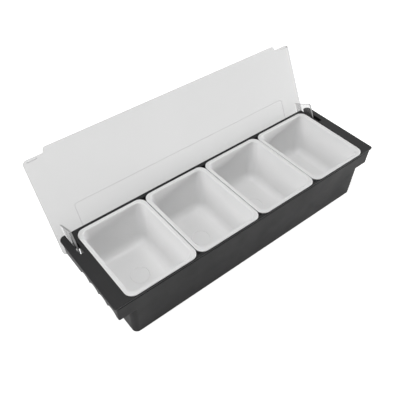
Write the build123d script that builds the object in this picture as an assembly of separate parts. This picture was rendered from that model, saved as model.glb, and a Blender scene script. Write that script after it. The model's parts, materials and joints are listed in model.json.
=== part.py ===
from build123d import *
import math
import os

# A bar garnish tray: a black tub with drop-skirt end handles, four lift-out inserts hung by their
# rims, and a translucent lid that snaps on pivot bars moulded into the tub's end flanges.
# Millimetres. X runs along the tray, Y from its front to its rear and Z up. The origin is the centre
# of the tub's underside, which is the face that the tray stands on.

os.makedirs("parts", exist_ok=True)

# Tray base: overall sizes over the lip
base_length = 420.0
base_width = 123.0
base_height = 76.0
lip_height = 4.0
lip_front_corner = 3.0
lip_rear_corner = 6.5
lip_edge = 0.6
lip_front_stand = 0.8
lip_side_stand = 2.5

# Tray base: the drafted tub
draft_angle = 2.35
flange_reach = 17.75
tub_corner = 10.0
tub_foot_edge = 1.2
tub_wall = 2.6
tub_floor = 2.8
tub_inner_radius = 6.5
rear_wall_top = 5.3

# Tray base: end flanges with drop skirts, which are the handles
handle_drop = 27.0
handle_corner = 3.0
handle_inner_corner = 1.5
handle_foot_edge = 0.8
flange_thickness = 3.0
skirt_top_thickness = 3.2
return_thickness = 3.0

# Tray base: finger grooves in the bottom edge of each skirt
groove_count = 4
groove_depth = 7.0
groove_front_margin = 6.2
groove_rear_margin = 2.5

# Hinge: slots open to the rear, with a pivot bar moulded across each
slot_width = 6.0
slot_skirt_stand = 3.0
slot_front_gap = 2.1
slot_rib_depth = 6.0
slot_rib_thickness = 2.0
pivot_inset = 10.5
pivot_drop = 12.05
pivot_radius = 3.0
cheek_margin = 3.5

# Inserts
insert_count = 4
insert_end_gap = 0.65
insert_gap = 0.4
insert_front_stand = 0.6
insert_rear_stand = 4.5
insert_rim_thickness = 1.4
insert_rim_corner = 10.75
insert_rim_edge = 0.7
insert_rim_top = 5.2
insert_wall = 1.6
insert_floor = 1.8
insert_draft = 4.0
insert_inner_radius = 8.5
insert_foot_edge = 5.5
insert_seat_gap = 0.3
ice_height = 12.4

# Lid: the plate, laid out flat as moulded
lid_end_stand = 0.75
lid_front_stand = 1.3
lid_rear_overhang = 2.7
lid_plate = 2.0
lid_rear_corner = 5.0
lid_front_corner = 4.5
lid_tab_reach = 6.1
lid_tab_margin = 28.25
lid_tab_run = 4.0
lid_foot_height = 4.2
lid_foot_wall = 1.8
lid_foot_length = 12.0
lid_foot_inset = 4.5
lid_foot_stand = 1.0
lid_foot_gap = 0.3
lid_panel_margin = 35.25
lid_panel_reach = 53.5
lid_panel_corner = 4.5
lid_panel_step = 0.3
lid_edge = 0.5

# Lid: the hinge arms and their C-clips
arm_thickness = 2.2
arm_rear = 4.5
arm_reach = 37.3
arm_drop = 31.8
arm_tip_corner = 3.0
clip_clearance = 0.08
clip_mouth = 5.2
lid_stop_gap = 0.3

# One overrun for every cut that runs out of a piece, and how near two heights count as one
overrun = 5.0
same_height = 0.0001

# Sizes worked out from the ones above
draft_slope = math.tan(math.radians(draft_angle))
tub_top_length = base_length - 2 * flange_reach
tub_top_width = base_width - 2 * lip_front_stand
tub_half_length = tub_top_length / 2
tub_half_width = tub_top_width / 2
handle_top_length = base_length - 2 * lip_side_stand
handle_half_length = handle_top_length / 2
handle_foot = base_height - handle_drop
skirt_inner = handle_half_length - skirt_top_thickness
slot_outer = skirt_inner - slot_skirt_stand
slot_inner = slot_outer - slot_width
arm_centre = slot_inner + slot_width / 2
pivot_y = base_width / 2 - pivot_inset
pivot_z = base_height - pivot_drop

lid_length = base_length - 2 * lid_end_stand
lid_inner_z = base_height + lid_foot_gap + lid_foot_height
lid_rear_y = base_width / 2 + lid_rear_overhang
lid_front_y = lid_front_stand - base_width / 2
lid_side_width = lid_rear_y - lid_front_y
lid_centre_y = (lid_rear_y + lid_front_y) / 2
pivot_along_lid = lid_rear_y - pivot_y
pivot_below_lid = lid_inner_z - pivot_z

slot_front = lid_rear_y - arm_reach - slot_front_gap
groove_rear_end = slot_front - groove_rear_margin
groove_front_end = groove_front_margin - tub_half_width
groove_pitch = (groove_rear_end - groove_front_end) / groove_count

insert_pitch = (tub_top_length - 2 * insert_end_gap) / insert_count
insert_rim_length = insert_pitch - insert_gap
insert_rim_width = base_width - insert_front_stand - insert_rear_stand
insert_centre_y = (insert_front_stand - insert_rear_stand) / 2
insert_opening_length = insert_rim_length - 2 * insert_rim_top
insert_opening_width = insert_rim_width - 2 * insert_rim_top
insert_rim_foot = base_height + insert_seat_gap
insert_rim_head = insert_rim_foot + insert_rim_thickness
insert_depth = insert_rim_head - tub_floor - ice_height - insert_floor


def rounded_block(length, width, corner, low, high):
    """An upright block with rounded corners between two heights."""
    return Pos(0, 0, low) * extrude(RectangleRounded(length, width, corner), high - low)


def edges_at(shape, height):
    """The level edges of a piece at one height."""
    return [
        edge
        for edge in shape.edges()
        if abs(edge.bounding_box().max.Z - height) < same_height
        and abs(edge.bounding_box().min.Z - height) < same_height
    ]


def drafted_form(length, width, top, depth, lean):
    """A sharp-edged box form that narrows downwards from its top."""
    form = Pos(0, 0, top - depth / 2) * Box(length, width, depth)
    return draft(form.faces().filter_by(Axis.Z, reverse=True), Plane.XY.offset(top), -lean)


def upright_edges(shape, top):
    """The edges of a form that run down from its top."""
    return [
        edge
        for edge in shape.edges()
        if abs(edge.bounding_box().max.Z - top) < same_height and edge.bounding_box().size.Z > same_height
    ]


def lip_plate():
    """The lip round the top, with tighter corners at the front than at the rear."""
    outline = Rectangle(base_length, base_width)
    front_corners = [corner for corner in outline.vertices() if corner.Y < 0]
    outline = fillet(front_corners, lip_front_corner)
    rear_corners = outline.vertices().sort_by(Axis.Y)[-2:]
    outline = fillet(rear_corners, lip_rear_corner)
    lip = Pos(0, 0, base_height - lip_height) * extrude(outline, lip_height)
    return chamfer(edges_at(lip, base_height), lip_edge)


def tub_cavity():
    """The hollow of the tub, with its rear wall left thick at the top to carry the insert rims."""
    length = tub_top_length - 2 * tub_wall + 2 * overrun * draft_slope
    width = tub_top_width - 2 * tub_wall + 2 * overrun * draft_slope
    top = base_height + overrun
    cavity = drafted_form(length, width, top, top - tub_floor, draft_angle)
    cavity = fillet(upright_edges(cavity, top) + edges_at(cavity, tub_floor), tub_inner_radius)
    pad_face = tub_half_width - rear_wall_top
    pad = Pos(0, pad_face + width / 2, base_height / 2) * Box(base_length, width, 2 * base_height)
    return cavity - pad


def handle_hollow():
    """The space under both end flanges, open downwards, before the tub is put back into it."""
    length = 2 * skirt_inner
    width = tub_top_width - 2 * return_thickness
    foot = handle_foot - overrun
    return rounded_block(length, width, handle_inner_corner, foot, base_height - flange_thickness)


def finger_grooves(side):
    """Scallops in the bottom edge of one skirt, which meet in a cusp."""
    half = groove_pitch / 2
    radius = (half**2 + groove_depth**2) / (2 * groove_depth)
    grooves = []
    for number in range(groove_count):
        y = groove_rear_end - (number + 0.5) * groove_pitch
        z = handle_foot + groove_depth - radius
        length = handle_half_length - slot_outer + overrun
        x = side * (slot_outer + length / 2)
        grooves.append(Pos(x, y, z) * Rot(0, 90, 0) * Cylinder(radius, length))
    return grooves


def hinge_slot(side):
    """The slot through one flange and out through its rear wall."""
    length = base_width / 2 + overrun - slot_front
    height = handle_drop + 2 * overrun
    z = base_height - handle_drop / 2
    return Pos(side * arm_centre, slot_front + length / 2, z) * Box(slot_width, length, height)


def slot_side(side, rib_low, low, high):
    """The rib along one edge of the slot, and the cheek that holds one end of the pivot bar."""
    rear = tub_half_width - return_thickness / 2
    rib = Pos(side * (rib_low + high) / 2, (slot_front + rear) / 2, base_height - slot_rib_depth / 2) * Box(
        high - rib_low, rear - slot_front, slot_rib_depth
    )
    half = pivot_radius + cheek_margin
    head = base_height - flange_thickness / 2
    width = high - low
    x = side * (low + high) / 2
    front = pivot_y - half
    post = Pos(x, (front + rear) / 2, (head + pivot_z) / 2) * Box(width, rear - front, head - pivot_z)
    web = Pos(x, (pivot_y + rear) / 2, pivot_z - half / 2) * Box(width, rear - pivot_y, half)
    foot = Pos(x, pivot_y, pivot_z) * Rot(0, 90, 0) * Cylinder(half, width)
    return rib + post + web + foot


def slot_sides(side):
    """Both sides of one slot, rooted in the tub's wall and in the skirt."""
    wall = tub_half_length - tub_wall / 2
    skirt = skirt_inner + skirt_top_thickness / 4
    inner = slot_side(side, slot_inner - slot_rib_thickness, wall, slot_inner)
    outer = slot_side(side, slot_outer, slot_outer, skirt)
    return inner + outer


def pivot_bar(side):
    """The round bar across one slot, rooted in the cheeks on both sides."""
    low = slot_inner - slot_rib_thickness
    high = skirt_inner
    bar = Cylinder(pivot_radius, high - low)
    return Pos(side * (low + high) / 2, pivot_y, pivot_z) * Rot(0, 90, 0) * bar


def make_tray_base():
    """The black moulding: tub, lip, end handles, hinge slots and pivot bars in one piece."""
    outline = Plane.XY.offset(base_height) * RectangleRounded(tub_top_length, tub_top_width, tub_corner)
    tub = extrude(outline, -base_height, taper=draft_angle)
    tub = fillet(edges_at(tub, 0), tub_foot_edge)
    handles = drafted_form(handle_top_length, tub_top_width, base_height, handle_drop, draft_angle)
    handles = fillet(upright_edges(handles, base_height), handle_corner)
    handles = chamfer(edges_at(handles, handle_foot), handle_foot_edge) - handle_hollow()
    for side in (-1, 1):
        for groove in finger_grooves(side):
            handles = handles - groove
    base = tub + handles + (lip_plate() - handle_hollow())
    for side in (-1, 1):
        base = base + slot_sides(side)
        base = base - hinge_slot(side)
        base = base + pivot_bar(side)
    return base - tub_cavity()


def insert_cup():
    """The outside of an insert below its rim."""
    length = insert_opening_length + 2 * insert_wall
    width = insert_opening_width + 2 * insert_wall
    depth = insert_depth + insert_floor
    cup = drafted_form(length, width, insert_rim_head, depth, insert_draft)
    cup = chamfer(edges_at(cup, insert_rim_head - depth), insert_foot_edge)
    cup = fillet(upright_edges(cup, insert_rim_head), insert_inner_radius)
    top = Pos(0, 0, insert_rim_head) * Box(length, width, 2 * insert_rim_edge)
    return cup - top


def insert_well():
    """The inside of an insert, with one large radius round its walls and floor."""
    well = drafted_form(
        insert_opening_length, insert_opening_width, insert_rim_head, insert_depth, insert_draft
    )
    floor_edges = edges_at(well, insert_rim_head - insert_depth)
    return fillet(upright_edges(well, insert_rim_head) + floor_edges, insert_inner_radius)


def make_insert(centre_x):
    """A white cup with drafted walls and a broad flat rim to hang by."""
    rim = rounded_block(
        insert_rim_length, insert_rim_width, insert_rim_corner, insert_rim_foot, insert_rim_head
    )
    rim = chamfer(edges_at(rim, insert_rim_head), insert_rim_edge)
    return Pos(centre_x, insert_centre_y, 0) * (rim + insert_cup() - insert_well())


def lid_outline():
    """The plate seen from above: rounded corners and the finger tab along its front edge."""
    tab = lid_length / 2 - lid_tab_margin
    front = lid_front_y
    plate = Pos(0, lid_centre_y) * Rectangle(lid_length, lid_side_width)
    rear_corners = [v for v in plate.vertices() if v.Y > 0]
    plate = fillet(rear_corners, lid_rear_corner)
    front_corners = [v for v in plate.vertices() if v.Y < 0]
    plate = fillet(front_corners, lid_front_corner)
    tab_front = front - lid_tab_reach
    tab_plate = Polygon(
        (-tab - lid_tab_run, front + overrun),
        (-tab - lid_tab_run, front),
        (-tab, tab_front),
        (tab, tab_front),
        (tab + lid_tab_run, front),
        (tab + lid_tab_run, front + overrun),
        align=None,
    )
    tab_corners = [v for v in tab_plate.vertices() if abs(v.Y - tab_front) < same_height]
    tab_plate = fillet(tab_corners, lid_front_corner)
    return plate + tab_plate


def lid_foot(side):
    """A short foot under one front corner, which holds the closed lid clear of the inserts' rims."""
    x = side * (lid_length / 2 - lid_foot_inset - lid_foot_length / 2)
    y = lid_front_y + lid_foot_stand + lid_foot_wall / 2
    foot = lid_inner_z - lid_foot_height
    outline = Rectangle(lid_foot_length, lid_foot_wall)
    return Pos(x, y, foot) * extrude(outline, lid_foot_height + lid_plate / 2)


def hinge_arm(side):
    """One arm under the lid: a flat web that ends in a C-clip open towards the rear edge."""
    rear = lid_rear_y - arm_rear
    tip = lid_rear_y - arm_reach
    foot = lid_inner_z - arm_drop
    head = lid_inner_z + lid_plate / 2
    web = Pos((tip + rear) / 2, (foot + head) / 2) * Rectangle(rear - tip, head - foot)
    tip_corner = [v for v in web.vertices() if v.X < pivot_y and v.Y < pivot_z]
    web = fillet(tip_corner, arm_tip_corner)
    heel = Pos((pivot_y + rear) / 2, (foot + pivot_z) / 2) * Rectangle(rear - pivot_y, pivot_z - foot)
    web = web - (heel - Pos(pivot_y, pivot_z) * Circle(pivot_z - foot))
    bore = Pos(pivot_y, pivot_z) * Circle(pivot_radius + clip_clearance)
    mouth = Pos((pivot_y + rear + overrun) / 2, pivot_z) * Rectangle(rear + overrun - pivot_y, clip_mouth)
    profile = Plane.YZ * (web - bore - mouth)
    return Pos(side * arm_centre, 0, 0) * extrude(profile, arm_thickness / 2, both=True)


def lid_open_angle():
    """The turn in degrees from closed to where the lid's rear edge rests on the tub's rear wall."""
    reach = math.hypot(pivot_along_lid, pivot_below_lid)
    closed = math.degrees(math.atan2(pivot_below_lid, pivot_along_lid))
    lean = math.radians(draft_angle)
    wall = (tub_half_width - pivot_y) * math.cos(lean) - (base_height - pivot_z) * math.sin(lean)
    rest = math.degrees(math.acos((wall + lid_stop_gap) / reach))
    return closed + rest + draft_angle


def make_hinged_lid():
    """The translucent lid, modelled closed and then turned back on its pivot to rest open."""
    plate = Pos(0, 0, lid_inner_z) * extrude(lid_outline(), lid_plate)
    plate = chamfer(edges_at(plate, lid_inner_z + lid_plate), lid_edge)
    panel_y = lid_rear_y + lid_panel_corner + (-lid_panel_reach - lid_panel_corner) / 2
    panel_length = lid_length - 2 * lid_panel_margin
    panel = RectangleRounded(panel_length, lid_panel_reach + lid_panel_corner, lid_panel_corner)
    plate = plate - Pos(0, panel_y, lid_inner_z - lid_panel_step) * extrude(panel, 2 * lid_panel_step)
    lid = plate + lid_foot(-1) + lid_foot(1) + hinge_arm(-1) + hinge_arm(1)
    return lid.rotate(Axis((0, pivot_y, pivot_z), (1, 0, 0)), -lid_open_angle())


def write(shape, node):
    """One STEP file for each node."""
    shape.label = node
    export_step(shape, f"parts/{node}.step")


write(make_tray_base(), "tray_base")
for number in range(insert_count):
    place = (number - (insert_count - 1) / 2) * insert_pitch
    write(make_insert(place), f"insert_{number + 1}")
write(make_hinged_lid(), "hinged_lid")
print("lid opens by", round(lid_open_angle(), 2), "degrees")
print("pivot at", round(pivot_y, 3), round(pivot_z, 3))
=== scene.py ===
import json
import math

import bmesh
import bpy
from mathutils import Matrix, Vector

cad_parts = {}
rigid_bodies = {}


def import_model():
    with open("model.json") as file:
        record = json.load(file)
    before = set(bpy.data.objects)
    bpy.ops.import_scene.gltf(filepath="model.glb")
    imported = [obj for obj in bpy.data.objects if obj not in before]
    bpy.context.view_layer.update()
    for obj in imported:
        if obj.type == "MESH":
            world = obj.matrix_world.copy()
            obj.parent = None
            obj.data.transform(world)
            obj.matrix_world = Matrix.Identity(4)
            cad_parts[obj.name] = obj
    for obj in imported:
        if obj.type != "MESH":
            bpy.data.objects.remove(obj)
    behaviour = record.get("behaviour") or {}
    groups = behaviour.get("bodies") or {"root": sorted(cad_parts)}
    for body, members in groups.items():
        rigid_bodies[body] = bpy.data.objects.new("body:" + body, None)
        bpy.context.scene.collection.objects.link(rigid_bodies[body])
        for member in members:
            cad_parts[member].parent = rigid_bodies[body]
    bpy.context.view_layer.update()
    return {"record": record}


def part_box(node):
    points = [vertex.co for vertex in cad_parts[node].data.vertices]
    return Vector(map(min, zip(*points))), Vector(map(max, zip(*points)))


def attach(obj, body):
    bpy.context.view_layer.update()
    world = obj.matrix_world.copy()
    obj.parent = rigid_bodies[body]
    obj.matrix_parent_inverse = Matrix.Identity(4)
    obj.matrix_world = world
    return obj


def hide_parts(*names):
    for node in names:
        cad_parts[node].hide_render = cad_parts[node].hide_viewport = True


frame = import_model()
bpy.ops.object.select_all(action="DESELECT")
mm = 0.001

# Tray base. One black injection moulding that carries everything else: a drafted tub with a lip round
# its top, and at each end a flange with a drop skirt to lift it by. Slots open to the rear take the
# lid's arms, and a pivot bar is moulded across each slot.
base_low, base_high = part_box("tray_base")
base_length = base_high[0] - base_low[0]
base_width = base_high[1] - base_low[1]
base_height = base_high[2]
draft_slope = math.tan(math.radians(2.35))
tub_length = base_length - 35.5 * mm
tub_width = base_width - 1.6 * mm
tub_corner = 10 * mm
tub_foot_edge = 1.2 * mm
tub_wall = 2.6 * mm
tub_floor = 2.8 * mm
tub_inner_edge = 6.5 * mm
tub_inner_corner_share = 0.75
rear_wall = 5.3 * mm
lip_height = 4 * mm
lip_front_corner = 3 * mm
lip_rear_corner = 6.5 * mm
lip_edge = 0.6 * mm
lip_line_depth = 1.5 * mm
lip_line_height = 1.3 * mm
lip_line_slant = 0.05 * mm
lip_undercut_depth = 0.9 * mm
lip_undercut_height = 2.2 * mm
handle_length = base_length - 5 * mm
handle_drop = 27 * mm
handle_corner = 3 * mm
handle_inner_corner = 1.5 * mm
handle_edge = 0.8 * mm
flange = 3 * mm
skirt = 3.2 * mm
rear_return = 3 * mm
groove_count = 4
groove_depth = 7 * mm
groove_front_margin = 6.2 * mm
groove_rear_margin = 2.5 * mm
slot_width = 6 * mm
slot_length = 36.7 * mm
slot_skirt_stand = 3 * mm
slot_rib_depth = 6 * mm
slot_rib = 2 * mm
pivot_y = base_width / 2 - 10.5 * mm
pivot_z = base_height - 12.05 * mm
pivot_radius = 3 * mm
cheek_margin = 3.5 * mm
moulded_edge = 0.35 * mm

# Cuts run past a piece by the overrun, and forms that are joined are sunk into each other.
overrun = 5 * mm
sunk = 1.5 * mm
corner_steps = 8
same_place = 0.01 * mm
flat_angle = math.radians(0.1)
sharp_angle = math.radians(40)
smooth_angle = math.radians(35)


def start_mesh(name):
    """A new empty mesh object, open in edit mode."""
    bpy.ops.object.select_all(action="DESELECT")
    bpy.ops.mesh.primitive_plane_add(size=1)
    piece = bpy.context.object
    piece.name = name
    bpy.ops.object.mode_set(mode="EDIT")
    bpy.ops.mesh.select_all(action="SELECT")
    bpy.ops.mesh.delete(type="VERT")
    return piece


def end_mesh():
    """Makes the faces of the mesh in hand point outwards and leaves edit mode."""
    bpy.ops.mesh.select_all(action="SELECT")
    bpy.ops.mesh.normals_make_consistent(inside=False)
    bpy.ops.object.mode_set(mode="OBJECT")


def pick(kind, low, high):
    """Selects the vertices or edges of the mesh in hand that lie between two corners."""
    bpy.ops.mesh.select_mode(type=kind)
    bpy.ops.mesh.select_all(action="DESELECT")
    mesh = bmesh.from_edit_mesh(bpy.context.edit_object.data)
    low = [value - same_place for value in low]
    high = [value + same_place for value in high]
    for part in mesh.verts if kind == "VERT" else mesh.edges:
        points = [part.co] if kind == "VERT" else [end.co for end in part.verts]
        part.select_set(all(low[axis] < point[axis] < high[axis] for point in points for axis in range(3)))
    bmesh.update_edit_mesh(bpy.context.edit_object.data)


def add_ring(length, width, corners, height, middle):
    """Adds a rounded rectangle at one height to the mesh in hand: its front corners, then its rear ones."""
    bpy.ops.mesh.select_all(action="DESELECT")
    place = (middle[0], middle[1], height)
    bpy.ops.mesh.primitive_plane_add(size=1, location=place)
    bpy.ops.transform.resize(value=(length, width, 1), center_override=place)
    if corners[0] == corners[1]:
        bpy.ops.mesh.bevel(affect="VERTICES", offset=corners[0], segments=corner_steps)
        return
    for side, corner in zip((-1, 1), corners):
        y = middle[1] + side * width / 2
        pick("VERT", (middle[0] - length / 2, y, height), (middle[0] + length / 2, y, height))
        bpy.ops.mesh.bevel(affect="VERTICES", offset=corner, segments=corner_steps)
    bpy.ops.mesh.select_linked()


def stack_rings(name, length, width, corners, rings, middle=(0, 0)):
    """A closed form through rounded rectangles, whose corners are given as front and rear. Each ring is
    its inset, its height and, where its corner isn't the outermost one less the inset, that corner."""
    piece = start_mesh(name)
    for number, ring in enumerate(rings):
        inset, height = ring[:2]
        ring_corners = ring[2:] * 2 if len(ring) == 3 else tuple(corner - inset for corner in corners)
        add_ring(length - 2 * inset, width - 2 * inset, ring_corners, height, middle)
        if number == 0:
            continue
        if number < len(rings) - 1:
            bpy.ops.mesh.delete(type="ONLY_FACE")
        else:
            bpy.ops.mesh.select_mode(type="EDGE")
        bpy.ops.mesh.select_non_manifold(extend=False, use_multi_face=False, use_verts=False)
        bpy.ops.mesh.bridge_edge_loops()
        bpy.ops.mesh.select_mode(type="VERT")
    end_mesh()
    return piece


def round_over(inset, height, radius, start, end, steps=4):
    """Rings along an arc whose middle is at an inset and a height. Degrees: 0 outwards, 90 up."""
    turns = [math.radians(start + (end - start) * step / steps) for step in range(steps + 1)]
    return [(inset - radius * math.cos(turn), height + radius * math.sin(turn)) for turn in turns]


def quarter_turn(steps):
    """The angles of a quarter circle in equal steps, with both its ends."""
    return [math.pi / 2 * step / steps for step in range(steps + 1)]


def end_span(side, inner, outer):
    """The low and the high x of a form at the left end (-1) or the right end (1) of the tray."""
    return sorted((side * inner, side * outer))


def block(name, low, high):
    """A plain block between two corners, for a cut or a rib."""
    bpy.ops.object.select_all(action="DESELECT")
    middle = [(a + b) / 2 for a, b in zip(low, high)]
    size = [b - a for a, b in zip(low, high)]
    bpy.ops.mesh.primitive_cube_add(size=1, location=middle, scale=size)
    piece = bpy.context.object
    piece.name = name
    bpy.ops.object.transform_apply(location=True, rotation=True, scale=True)
    return piece


def rod(name, radius, ends, y, z, sides=48):
    """A round rod along X, for a bar, a bore or a groove."""
    bpy.ops.object.select_all(action="DESELECT")
    bpy.ops.mesh.primitive_cylinder_add(
        radius=radius,
        depth=ends[1] - ends[0],
        vertices=sides,
        location=((ends[0] + ends[1]) / 2, y, z),
        rotation=(0, math.pi / 2, 0),
    )
    piece = bpy.context.object
    piece.name = name
    bpy.ops.object.transform_apply(location=True, rotation=True, scale=True)
    return piece


def take_in_hand(piece):
    """Selects one piece alone and makes it the active one."""
    bpy.ops.object.select_all(action="DESELECT")
    bpy.context.view_layer.objects.active = piece
    piece.select_set(True)


def combine(piece, other, operation):
    """Joins a second form to a piece or cuts it away, and drops the second form."""
    take_in_hand(piece)
    change = piece.modifiers.new("combine", "BOOLEAN")
    change.operation = operation
    change.solver = "EXACT"
    change.object = other
    bpy.ops.object.modifier_apply(modifier=change.name)
    bpy.data.objects.remove(other)


def soften_edges(piece, width, segments):
    """Rounds the sharp edges of a piece and shades it smooth, with its flat faces kept flat."""
    take_in_hand(piece)
    bpy.ops.object.mode_set(mode="EDIT")
    bpy.ops.mesh.select_all(action="SELECT")
    bpy.ops.mesh.remove_doubles(threshold=same_place)
    bpy.ops.mesh.dissolve_limited(angle_limit=flat_angle)
    bpy.ops.object.mode_set(mode="OBJECT")
    bevel = piece.modifiers.new("edges", "BEVEL")
    bevel.width = width
    bevel.segments = segments
    bevel.limit_method = "ANGLE"
    bevel.angle_limit = sharp_angle
    bpy.ops.object.modifier_apply(modifier=bevel.name)
    piece.data.validate()
    bpy.ops.object.shade_smooth_by_angle(angle=smooth_angle)
    normals = piece.modifiers.new("normals", "WEIGHTED_NORMAL")
    normals.keep_sharp = True
    bpy.ops.object.modifier_apply(modifier=normals.name)


# The outside: the tub, the handles and the lip that joins them, with a fine dark line under it.
lip_foot = base_height - lip_height
line_foot = lip_foot - lip_line_height
line_bottom = lip_height * draft_slope + lip_line_depth
under_lip_rings = [
    ((lip_height + lip_line_height) * draft_slope, line_foot),
    (line_bottom, line_foot + lip_line_slant),
    (line_bottom, lip_foot + sunk),
    (sunk * draft_slope, base_height - sunk),
]
tub_foot_inset = base_height * draft_slope
tub_rings = [(tub_foot_inset + tub_foot_edge, 0)]
tub_rings += round_over(tub_foot_inset + tub_foot_edge, tub_foot_edge, tub_foot_edge, -75, 0)
tub_rings += under_lip_rings
tray_base = stack_rings("tray_base_shell", tub_length, tub_width, (tub_corner, tub_corner), tub_rings)

handle_foot = base_height - handle_drop
handle_inset = handle_drop * draft_slope
handle_rings = round_over(handle_inset + handle_edge, handle_foot + handle_edge, handle_edge, -90, 0, steps=3)
handle_rings += under_lip_rings
handles = stack_rings("handles", handle_length, tub_width, (handle_corner, handle_corner), handle_rings)
lip_rings = [(lip_undercut_depth, lip_foot), (0, lip_foot + lip_undercut_height)]
lip_rings += round_over(lip_edge, base_height - lip_edge, lip_edge, 0, 90)
lip = stack_rings("lip", base_length, base_width, (lip_front_corner, lip_rear_corner), lip_rings)
combine(handles, lip, "UNION")
skirt_inner = handle_length / 2 - skirt
hollow_size = (2 * skirt_inner, tub_width - 2 * rear_return)
hollow_corners = (handle_inner_corner, handle_inner_corner)
hollow_rings = [(0, handle_foot - overrun), (0, base_height - flange)]
hollow = stack_rings("hollow", *hollow_size, hollow_corners, hollow_rings)
combine(handles, hollow, "DIFFERENCE")

# The finger grooves, in the bottom edge of each skirt.
slot_outer = skirt_inner - slot_skirt_stand
slot_inner = slot_outer - slot_width
slot_front = base_width / 2 - slot_length
groove_rear = slot_front - groove_rear_margin
groove_pitch = (groove_rear - groove_front_margin + tub_width / 2) / groove_count
groove_half = groove_pitch / 2
groove_radius = (groove_half**2 + groove_depth**2) / (2 * groove_depth)
groove_z = handle_foot + groove_depth - groove_radius
for side in (-1, 1):
    groove_ends = end_span(side, slot_outer, handle_length / 2 + overrun)
    for number in range(groove_count):
        groove_y = groove_rear - (number + 0.5) * groove_pitch
        groove = rod("groove", groove_radius, groove_ends, groove_y, groove_z, sides=96)
        combine(handles, groove, "DIFFERENCE")
combine(tray_base, handles, "UNION")

# The hinge: two ribs along each slot, a rounded cheek on both sides of it, and the bar between them.
# Ribs and cheeks end inside the wall or skirt that they stand on.
cheek_half = pivot_radius + cheek_margin
rear_middle = tub_width / 2 - rear_return / 2
tub_root = tub_length / 2 - tub_wall / 2 - tub_foot_inset / 4
skirt_root = skirt_inner + skirt / 4
for side in (-1, 1):
    for rib_start, cheek_start, end in (
        (slot_inner - slot_rib, tub_root, slot_inner),
        (slot_outer, slot_outer, skirt_root),
    ):
        low_x, high_x = end_span(side, rib_start, end)
        rib = block(
            "rib",
            (low_x, slot_front, base_height - slot_rib_depth),
            (high_x, rear_middle, base_height - sunk),
        )
        combine(tray_base, rib, "UNION")
        low_x, high_x = end_span(side, cheek_start, end)
        cheek = block(
            "cheek",
            (low_x, pivot_y - cheek_half, pivot_z),
            (high_x, rear_middle, base_height - sunk),
        )
        web = block("cheek_web", (low_x, pivot_y, pivot_z - cheek_half), (high_x, rear_middle, pivot_z))
        combine(cheek, web, "UNION")
        foot = rod("cheek_foot", cheek_half, (low_x, high_x), pivot_y, pivot_z)
        combine(cheek, foot, "UNION")
        combine(tray_base, cheek, "UNION")
    low_x, high_x = end_span(side, slot_inner, slot_outer)
    slot = block(
        "slot",
        (low_x, slot_front, handle_foot - overrun),
        (high_x, base_width / 2 + overrun, base_height + overrun),
    )
    combine(tray_base, slot, "DIFFERENCE")
    bar_ends = end_span(side, slot_inner - slot_rib, skirt_inner)
    bar = rod("pivot_bar", pivot_radius, bar_ends, pivot_y, pivot_z)
    combine(tray_base, bar, "UNION")

# The inside of the tub, with its thicker rear wall.
cavity_foot_inset = (base_height - tub_floor) * draft_slope
cavity_edge = cavity_foot_inset + tub_inner_edge
cavity_foot_corner = tub_inner_edge * (1 - tub_inner_corner_share)
cavity_rings = [(cavity_edge, tub_floor, cavity_foot_corner)]
for turn in quarter_turn(6)[1:]:
    reach = tub_inner_edge * math.sin(turn)
    height = tub_floor + tub_inner_edge * (1 - math.cos(turn))
    cavity_rings.append((cavity_edge - reach, height, cavity_foot_corner + reach * tub_inner_corner_share))
cavity_rings.append((-overrun * draft_slope, base_height + overrun, tub_inner_edge))
cavity_size = (tub_length - 2 * tub_wall, tub_width - 2 * tub_wall)
cavity_corners = (tub_inner_edge, tub_inner_edge)
cavity = stack_rings("cavity", *cavity_size, cavity_corners, cavity_rings)
rear_pad = block(
    "rear_pad",
    (-base_length, tub_width / 2 - rear_wall, -overrun),
    (base_length, base_width, base_height + 2 * overrun),
)
combine(cavity, rear_pad, "DIFFERENCE")
combine(tray_base, cavity, "DIFFERENCE")
soften_edges(tray_base, moulded_edge, segments=3)


def new_material(name, colour, roughness):
    """A principled material with its shader at hand."""
    material = bpy.data.materials.new(name)
    material.use_nodes = True
    shader = material.node_tree.nodes["Principled BSDF"]
    shader.inputs["Base Color"].default_value = (*colour, 1)
    shader.inputs["Roughness"].default_value = roughness
    return material, shader


def grain(material, shader, strength, fine_scale, fine_height, waves_scale, waves_height):
    """The fine texture of the mould and the slow waves of the cooled plastic, as bump. Gives back the
    node that places them on the piece."""
    nodes, links = material.node_tree.nodes, material.node_tree.links
    place = nodes.new("ShaderNodeTexCoord")
    normal = shader.inputs["Normal"]
    for scale, height, detail in ((fine_scale, fine_height, 3), (waves_scale, waves_height, 1)):
        noise = nodes.new("ShaderNodeTexNoise")
        noise.inputs["Scale"].default_value = scale
        noise.inputs["Detail"].default_value = detail
        bump = nodes.new("ShaderNodeBump")
        bump.inputs["Strength"].default_value = strength
        bump.inputs["Distance"].default_value = height
        links.new(place.outputs["Object"], noise.inputs["Vector"])
        links.new(noise.outputs["Fac"], bump.inputs["Height"])
        links.new(bump.outputs["Normal"], normal)
        normal = bump.inputs["Normal"]
    return place


def vary_roughness(material, shader, place, scale, low, high):
    """Lets the roughness drift between two values over the surface, in soft patches."""
    nodes, links = material.node_tree.nodes, material.node_tree.links
    patches = nodes.new("ShaderNodeTexNoise")
    patches.inputs["Scale"].default_value = scale
    patches.inputs["Detail"].default_value = 4
    spread = nodes.new("ShaderNodeMapRange")
    for name, value in (("From Min", 0.3), ("From Max", 0.7), ("To Min", low), ("To Max", high)):
        spread.inputs[name].default_value = value
    links.new(place.outputs["Object"], patches.inputs["Vector"])
    links.new(patches.outputs["Fac"], spread.inputs["Value"])
    links.new(spread.outputs["Result"], shader.inputs["Roughness"])


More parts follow.
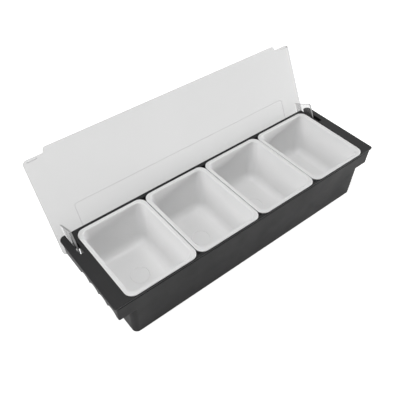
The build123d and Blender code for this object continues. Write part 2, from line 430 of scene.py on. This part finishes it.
black = (0.006, 0.006, 0.0065)
black_roughness = 0.36
black_gloss = 0.29
black_plastic, black_shader = new_material("black_moulded_plastic", black, black_roughness)
black_shader.inputs["Specular IOR Level"].default_value = black_gloss
black_place = grain(
    black_plastic,
    black_shader,
    strength=0.5,
    fine_scale=1800,
    fine_height=0.02 * mm,
    waves_scale=14,
    waves_height=1.2 * mm,
)
vary_roughness(black_plastic, black_shader, black_place, scale=40, low=0.3, high=0.42)
tray_base.data.materials.clear()
tray_base.data.materials.append(black_plastic)
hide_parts("tray_base")
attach(tray_base, "tray")

# Inserts. Four white cups, each a single thin moulding with drafted walls, a soft floor and a broad
# flat rim. They hang side by side in the tub by their rims and lift straight out. A faint ring on
# each floor is where the moulding's gate was trimmed.
cup_count = 4
cup_low, cup_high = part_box("insert_1")
rim_clear = 0.3 * mm
rim_rear_clear = 0.5 * mm
cup_length = cup_high[0] - cup_low[0] - 2 * rim_clear
cup_width = cup_high[1] - cup_low[1] - 2 * rim_clear - rim_rear_clear
cup_top = cup_high[2]
cup_middle = ((cup_low[0] + cup_high[0]) / 2, (cup_low[1] + cup_high[1] - rim_rear_clear) / 2)
rim_edge = 0.7 * mm
rim_inner_edge = 1.4 * mm
rim_width = 5.2 * mm - rim_clear
rim_thickness = 1.4 * mm
rim_corner = 10.75 * mm - rim_clear
cup_opening_corner = 9 * mm
cup_foot_corner = 14 * mm
cup_foot_corner_share = 0.92
cup_foot_round = 12 * mm
cup_wall = 1.6 * mm
cup_floor = 1.8 * mm
cup_slope = math.tan(math.radians(4))
ring_radius = 12 * mm
ring_thickness = 0.6 * mm
ring_height = 0.5 * mm

# The rings run from the floor up the inside, over the rim and down the outside to the foot.
floor_top = cup_low[2] + cup_floor
foot_inset = rim_width + (cup_top - floor_top) * cup_slope
cup_rings = []
for turn in quarter_turn(8):
    reach = cup_foot_round * (1 - math.sin(turn))
    height = floor_top + cup_foot_round * (1 - math.cos(turn))
    cup_rings.append((foot_inset + reach, height, cup_foot_corner - reach * cup_foot_corner_share))
cup_rings.append((rim_width + rim_inner_edge * cup_slope, cup_top - rim_inner_edge, cup_opening_corner))
for turn in quarter_turn(4)[1:]:
    reach = rim_inner_edge * (1 - math.cos(turn))
    height = cup_top - rim_inner_edge * (1 - math.sin(turn))
    cup_rings.append((rim_width - reach, height, cup_opening_corner + reach))
for turn in quarter_turn(4):
    reach = rim_edge * (1 - math.sin(turn))
    height = cup_top - rim_edge * (1 - math.cos(turn))
    cup_rings.append((reach, height, rim_corner - reach))
cup_rings.append((0, cup_top - rim_thickness, rim_corner))
cup_rings.append((rim_width - cup_wall, cup_top - rim_thickness, cup_opening_corner + cup_wall))
for turn in quarter_turn(8):
    reach = cup_foot_round * (1 - math.cos(turn))
    height = cup_low[2] + cup_foot_round * (1 - math.sin(turn))
    corner = cup_foot_corner + cup_wall - reach * cup_foot_corner_share
    cup_rings.append((foot_inset - cup_wall + reach, height, corner))
cup_corners = (rim_corner, rim_corner)
first_cup = stack_rings("insert_1_cup", cup_length, cup_width, cup_corners, cup_rings, cup_middle)
bpy.ops.object.select_all(action="DESELECT")
bpy.ops.mesh.primitive_torus_add(
    location=(*cup_middle, floor_top + ring_height - ring_thickness),
    major_radius=ring_radius,
    minor_radius=ring_thickness,
    major_segments=72,
    minor_segments=12,
)
combine(first_cup, bpy.context.object, "UNION")
bpy.ops.object.shade_smooth_by_angle(angle=smooth_angle)

white = (0.85, 0.85, 0.85)
white_roughness = 0.35
white_glow_share = 0.1
white_glow_depth = 3 * mm
white_plastic, white_shader = new_material("white_moulded_plastic", white, white_roughness)
white_place = grain(
    white_plastic,
    white_shader,
    strength=0.4,
    fine_scale=900,
    fine_height=0.01 * mm,
    waves_scale=22,
    waves_height=0.3 * mm,
)
vary_roughness(white_plastic, white_shader, white_place, scale=60, low=0.3, high=0.42)
white_shader.inputs["Subsurface Weight"].default_value = white_glow_share
white_shader.inputs["Subsurface Radius"].default_value = (white_glow_depth,) * 3
white_shader.inputs["Subsurface Scale"].default_value = 1
first_cup.data.materials.clear()
first_cup.data.materials.append(white_plastic)

cups = [first_cup]
for number in range(2, cup_count + 1):
    take_in_hand(first_cup)
    bpy.ops.object.duplicate(linked=False)
    cup = bpy.context.object
    cup.name = f"insert_{number}_cup"
    step_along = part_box(f"insert_{number}")[0][0] - cup_low[0]
    bpy.ops.transform.translate(value=(step_along, 0, 0))
    bpy.ops.object.transform_apply(location=True, rotation=False, scale=False)
    cups.append(cup)
for number, cup in enumerate(cups, 1):
    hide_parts(f"insert_{number}")
    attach(cup, f"cup_{number}")

# Hinged lid. One frosted translucent moulding: a flat plate with a finger tab, a short foot under each
# front corner, and an arm at each end that snaps on a pivot bar of the base with a C-clip. It is
# shaped closed, as it lies on the base, and then turned back on its pivots to where it rests open.
lid_length = base_length - 1.5 * mm
lid_rear_y = base_width / 2 + 2.7 * mm
lid_front_y = 1.3 * mm - base_width / 2
lid_inner_z = base_height + 4.5 * mm
lid_plate = 2 * mm
lid_front_corner = 6 * mm
lid_rear_corner = 5 * mm
lid_edge = 0.7 * mm
lid_inner_edge = 0.3 * mm
lid_fine_edge = 0.2 * mm
tab_reach = 6.1 * mm
tab_margin = 28.25 * mm
tab_run = 4 * mm
tab_corner = 3 * mm
lid_foot_height = 4.2 * mm
lid_foot_wall = 1.8 * mm
lid_foot_length = 12 * mm
lid_foot_inset = 4.5 * mm
lid_foot_stand = 1 * mm
panel_margin = 35.25 * mm
panel_reach = 53.5 * mm
panel_corner = 4.5 * mm
panel_step = 0.3 * mm
panel_slope = 0.8 * mm
arm_thickness = 2.2 * mm
arm_rear = 4.5 * mm
arm_reach = 37.3 * mm
arm_drop = 31.8 * mm
arm_tip_corner = 3 * mm
clip_clearance = 0.08 * mm
clip_mouth = 5.2 * mm

# The hinge's range runs from closed to open, so its first end says how far the lid is turned back.
hinge = frame["record"]["behaviour"]["joints"][0]
lid_opening = math.radians(hinge["range_deg"][0])

lid_width = lid_rear_y - lid_front_y
lid_middle = (0, (lid_rear_y + lid_front_y) / 2)
lid_top = lid_inner_z + lid_plate
lid_corners = (lid_front_corner, lid_rear_corner)
lid_rings = round_over(lid_inner_edge, lid_inner_z + lid_inner_edge, lid_inner_edge, -90, 0, steps=2)
lid_rings += round_over(lid_edge, lid_top - lid_edge, lid_edge, 0, 90, steps=3)
lid = stack_rings("lid_moulding", lid_length, lid_width, lid_corners, lid_rings, lid_middle)

# The finger tab, narrower towards the hand, with round corners and a soft upper edge.
tab_half = lid_length / 2 - tab_margin
tab_front = lid_front_y - tab_reach
tab = block(
    "lid_tab",
    (-tab_half - tab_run, tab_front, lid_inner_z),
    (tab_half + tab_run, lid_front_y + lid_front_corner, lid_top),
)
bpy.ops.object.mode_set(mode="EDIT")
for side in (-1, 1):
    tab_side = side * (tab_half + tab_run)
    pick("VERT", (tab_side, tab_front, lid_inner_z), (tab_side, tab_front, lid_top))
    bpy.ops.transform.translate(value=(-side * tab_run, 0, 0))
    tab_side = side * tab_half
    pick("EDGE", (tab_side, tab_front, lid_inner_z), (tab_side, tab_front, lid_top))
    bpy.ops.mesh.bevel(offset=tab_corner, segments=8)
pick("EDGE", (-lid_length, -base_width, lid_top), (lid_length, base_width, lid_top))
bpy.ops.mesh.bevel(offset=lid_edge, segments=3)
end_mesh()
combine(lid, tab, "UNION")

lid_foot_outer = lid_length / 2 - lid_foot_inset
lid_foot_y = lid_front_y + lid_foot_stand
plate_middle_z = lid_inner_z + lid_plate / 2
for side in (-1, 1):
    low_x, high_x = end_span(side, lid_foot_outer - lid_foot_length, lid_foot_outer)
    foot = block(
        "lid_foot",
        (low_x, lid_foot_y, lid_inner_z - lid_foot_height),
        (high_x, lid_foot_y + lid_foot_wall, plate_middle_z),
    )
    combine(lid, foot, "UNION")

# The panel along the hinge side, a shallow recess in the inner face with a sloped step round it.
panel_size = (lid_length - 2 * panel_margin, panel_reach + panel_corner)
panel_middle = (0, lid_rear_y + (panel_corner - panel_reach) / 2)
panel_corners = (panel_corner, panel_corner)
panel_rings = [
    (0, lid_inner_z - panel_step),
    (0, lid_inner_z),
    (panel_slope, lid_inner_z + panel_step),
]
panel = stack_rings("panel_recess", *panel_size, panel_corners, panel_rings, panel_middle)
combine(lid, panel, "DIFFERENCE")

# The arms, each with a heel rounded about the pivot, a bore for the bar and a mouth to the rear.
arm_middle = slot_inner + slot_width / 2
arm_foot = lid_inner_z - arm_drop
arm_tip = lid_rear_y - arm_reach
arm_heel = lid_rear_y - arm_rear
heel_radius = pivot_z - arm_foot
bore_radius = pivot_radius + clip_clearance
for side in (-1, 1):
    low_x = side * arm_middle - arm_thickness / 2
    high_x = side * arm_middle + arm_thickness / 2
    arm = block("hinge_arm", (low_x, arm_tip, arm_foot), (high_x, arm_heel, plate_middle_z))
    bpy.ops.object.mode_set(mode="EDIT")
    pick("EDGE", (low_x, arm_tip, arm_foot), (high_x, arm_tip, arm_foot))
    bpy.ops.mesh.bevel(offset=arm_tip_corner, segments=6)
    end_mesh()
    heel = block(
        "arm_heel",
        (low_x - overrun, pivot_y, arm_foot - overrun),
        (high_x + overrun, arm_heel + overrun, pivot_z),
    )
    heel_ends = (low_x - 2 * overrun, high_x + 2 * overrun)
    round_heel = rod("heel_round", heel_radius, heel_ends, pivot_y, pivot_z, sides=96)
    combine(heel, round_heel, "DIFFERENCE")
    combine(arm, heel, "DIFFERENCE")
    bore = rod("clip_bore", bore_radius, (low_x - overrun, high_x + overrun), pivot_y, pivot_z)
    combine(arm, bore, "DIFFERENCE")
    mouth = block(
        "clip_mouth",
        (low_x - overrun, pivot_y, pivot_z - clip_mouth / 2),
        (high_x + overrun, arm_heel + overrun, pivot_z + clip_mouth / 2),
    )
    combine(arm, mouth, "DIFFERENCE")
    combine(lid, arm, "UNION")
soften_edges(lid, lid_fine_edge, segments=2)

nearly_level = 0.98
sideways = 0.9
rearwards = 0.5


def paint_faces(slot_number, chosen):
    """Gives the faces of the mesh in hand that pass a test the material of one slot."""
    bpy.ops.mesh.select_mode(type="FACE")
    bpy.ops.mesh.select_all(action="DESELECT")
    mesh = bmesh.from_edit_mesh(bpy.context.edit_object.data)
    for face in mesh.faces:
        face.select_set(chosen(face.calc_center_median(), face.normal))
    bmesh.update_edit_mesh(bpy.context.edit_object.data)
    bpy.context.object.active_material_index = slot_number
    bpy.ops.object.material_slot_assign()


def on_step(place, normal):
    """Whether a face lies on the sloped step round the lid's panel."""
    in_step = lid_inner_z < place.z < lid_inner_z + panel_step and abs(normal.z) < nearly_level
    in_reach = lid_rear_y - panel_reach < place.y < lid_rear_y - panel_slope
    return in_step and in_reach and abs(place.x) < panel_size[0] / 2


def on_arm(place):
    """Whether a face lies on an arm below the lid's plate."""
    return place.z < lid_inner_z - moulded_edge and place.y > lid_middle[1] and abs(place.x) > slot_inner


def on_foot_back(place, normal):
    """Whether a face is the rear side of a foot below the lid's plate."""
    return place.z < lid_inner_z and place.y < lid_middle[1] and normal.y > rearwards


lid.data.materials.clear()
for name, level, density, roughness in (
    ("frosted_plate", 0.188, 0.33, 0.4),
    # The step round the panel gets a darker, denser copy of the plate's material: painted shade that draws
    # the step as a dark line.
    ("frosted_step_painted_shade", 0.18, 0.48, 0.4),
    # The arms' side faces get a clearer, glossier copy: the see-through look of the thin arms, and painted
    # shade that lets them read dark over the shaded slot.
    ("clearer_arm_painted_shade", 0.25, 0.23, 0.25),
    # The arms' narrow edges get a brighter, nearly solid copy: a painted highlight along them.
    ("arm_edge_painted_highlight", 0.38, 0.95, 0.25),
    # The rear faces of the feet get an almost fully see-through copy: painted shade that keeps a light patch
    # off them.
    ("foot_back_painted_shade", 0.2, 0.02, 0.4),
):
    translucent, shader = new_material(name, (level, level, level), roughness)
    shader.inputs["Alpha"].default_value = density
    grain(
        translucent,
        shader,
        strength=0.5,
        fine_scale=1500,
        fine_height=0.02 * mm,
        waves_scale=12,
        waves_height=0.6 * mm,
    )
    lid.data.materials.append(translucent)
bpy.ops.object.mode_set(mode="EDIT")
# Painted shade: the panel's step takes the darker, denser copy.
paint_faces(1, on_step)
# Painted shade on the arms' side faces, which take the clearer copy.
paint_faces(2, lambda place, normal: on_arm(place) and abs(normal.x) > sideways)
# Painted highlight on the arms' edges.
paint_faces(3, lambda place, normal: on_arm(place) and abs(normal.x) <= sideways)
# Painted shade on the feet's rear faces.
paint_faces(4, on_foot_back)
bpy.ops.object.mode_set(mode="OBJECT")
pivot = Vector((0, pivot_y, pivot_z))
turn_back = Matrix.Rotation(lid_opening, 4, "X")
lid.matrix_world = Matrix.Translation(pivot) @ turn_back @ Matrix.Translation(-pivot)
bpy.ops.object.transform_apply(location=True, rotation=True, scale=True)

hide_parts("hinged_lid")
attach(lid, "lid")

# Studio. A plain white floor that glows where the camera or a reflection sees it, four soft boxes and
# a pale world, with the camera where the photographer stood.
floor_size = 8
floor_drop = 0.2 * mm
floor_colour = (0.85, 0.85, 0.85)
floor_roughness = 0.9
floor_glow = 0.75
floor_glow_reflected = 0.1
pure_white = (1, 1, 1, 1)


def join_values(tree, operation, *values):
    """A math node on sockets and plain numbers. Gives back the socket of its result."""
    node = tree.nodes.new("ShaderNodeMath")
    node.operation = operation
    for socket, value in zip(node.inputs, values):
        if isinstance(value, bpy.types.NodeSocket):
            tree.links.new(value, socket)
        else:
            socket.default_value = value
    return node.outputs[0]


bpy.ops.object.select_all(action="DESELECT")
bpy.ops.mesh.primitive_plane_add(size=floor_size, location=(0, 0, -floor_drop))
floor = bpy.context.object
floor.name = "studio_floor"
floor_paint, floor_shader = new_material("studio_floor_paint", floor_colour, floor_roughness)
floor_tree = floor_paint.node_tree
ray = floor_tree.nodes.new("ShaderNodeLightPath").outputs
reflected = join_values(floor_tree, "MAXIMUM", ray["Is Glossy Ray"], ray["Is Transmission Ray"])
reflected_glow = join_values(floor_tree, "MULTIPLY", reflected, floor_glow_reflected)
seen_glow = join_values(floor_tree, "MULTIPLY_ADD", ray["Is Camera Ray"], floor_glow, reflected_glow)
glow = floor_tree.nodes.new("ShaderNodeEmission")
glow.inputs["Color"].default_value = pure_white
floor_tree.links.new(seen_glow, glow.inputs["Strength"])
both = floor_tree.nodes.new("ShaderNodeAddShader")
floor_tree.links.new(floor_shader.outputs[0], both.inputs[0])
floor_tree.links.new(glow.outputs[0], both.inputs[1])
floor_tree.links.new(both.outputs[0], floor_tree.nodes["Material Output"].inputs["Surface"])
floor.data.materials.append(floor_paint)


def soft_lamp(name, place, size, power, aim=(0, 0, 0)):
    """A square soft box that faces a point."""
    bpy.ops.object.light_add(type="AREA", location=place)
    lamp = bpy.context.object
    lamp.name = name
    lamp.data.shape = "SQUARE"
    lamp.data.size = size
    lamp.data.energy = power
    lamp.rotation_euler = (Vector(aim) - Vector(place)).to_track_quat("-Z", "Y").to_euler()


soft_lamp("key_lamp", place=(-1.75, 0.25, 1.05), size=1.2, power=20)
soft_lamp("top_lamp", place=(-0.1, 0, 1.6), size=0.8, power=8.2)
soft_lamp("fill_lamp", place=(1.3, -0.5, 0.2), size=0.4, power=13.5, aim=(0.2, -0.05, 0))
soft_lamp("rear_lamp", place=(0.1, 0.75, 1.31), size=0.3, power=0.4)

world_light = 0.17
world_seen = 1.0
world = bpy.data.worlds.new("studio_world")
bpy.context.scene.world = world
world.use_nodes = True
world_tree = world.node_tree
backdrop = world_tree.nodes["Background"]
backdrop.inputs["Color"].default_value = pure_white
ray = world_tree.nodes.new("ShaderNodeLightPath").outputs
seen_plainly = join_values(world_tree, "MAXIMUM", ray["Is Camera Ray"], ray["Is Glossy Ray"])
seen = join_values(world_tree, "MAXIMUM", seen_plainly, ray["Is Transmission Ray"])
brightness = world_tree.nodes.new("ShaderNodeMapRange")
brightness.inputs["To Min"].default_value = world_light
brightness.inputs["To Max"].default_value = world_seen
world_tree.links.new(seen, brightness.inputs["Value"])
world_tree.links.new(brightness.outputs["Result"], backdrop.inputs["Strength"])

camera_place = (-321.38 * mm, -339.89 * mm, 533.52 * mm)
camera_azimuth = math.radians(-38.8)
camera_elevation = math.radians(45.721)
camera_roll = math.radians(0.224)

# Blender takes the film and the lens in plain millimetres.
camera_film_width = 36
camera_lens = 46.095
bpy.ops.object.camera_add(location=camera_place)
camera = bpy.context.object
camera.name = "photo_camera"
camera.data.sensor_width = camera_film_width
camera.data.lens = camera_lens
back = Vector(
    (
        math.sin(camera_azimuth) * math.cos(camera_elevation),
        -math.cos(camera_azimuth) * math.cos(camera_elevation),
        math.sin(camera_elevation),
    )
)
camera_turn = (-back).to_track_quat("-Z", "Y").to_matrix() @ Matrix.Rotation(camera_roll, 3, "Z")
camera.rotation_euler = camera_turn.to_euler()
bpy.context.scene.camera = camera
bpy.context.scene.view_settings.view_transform = "Standard"
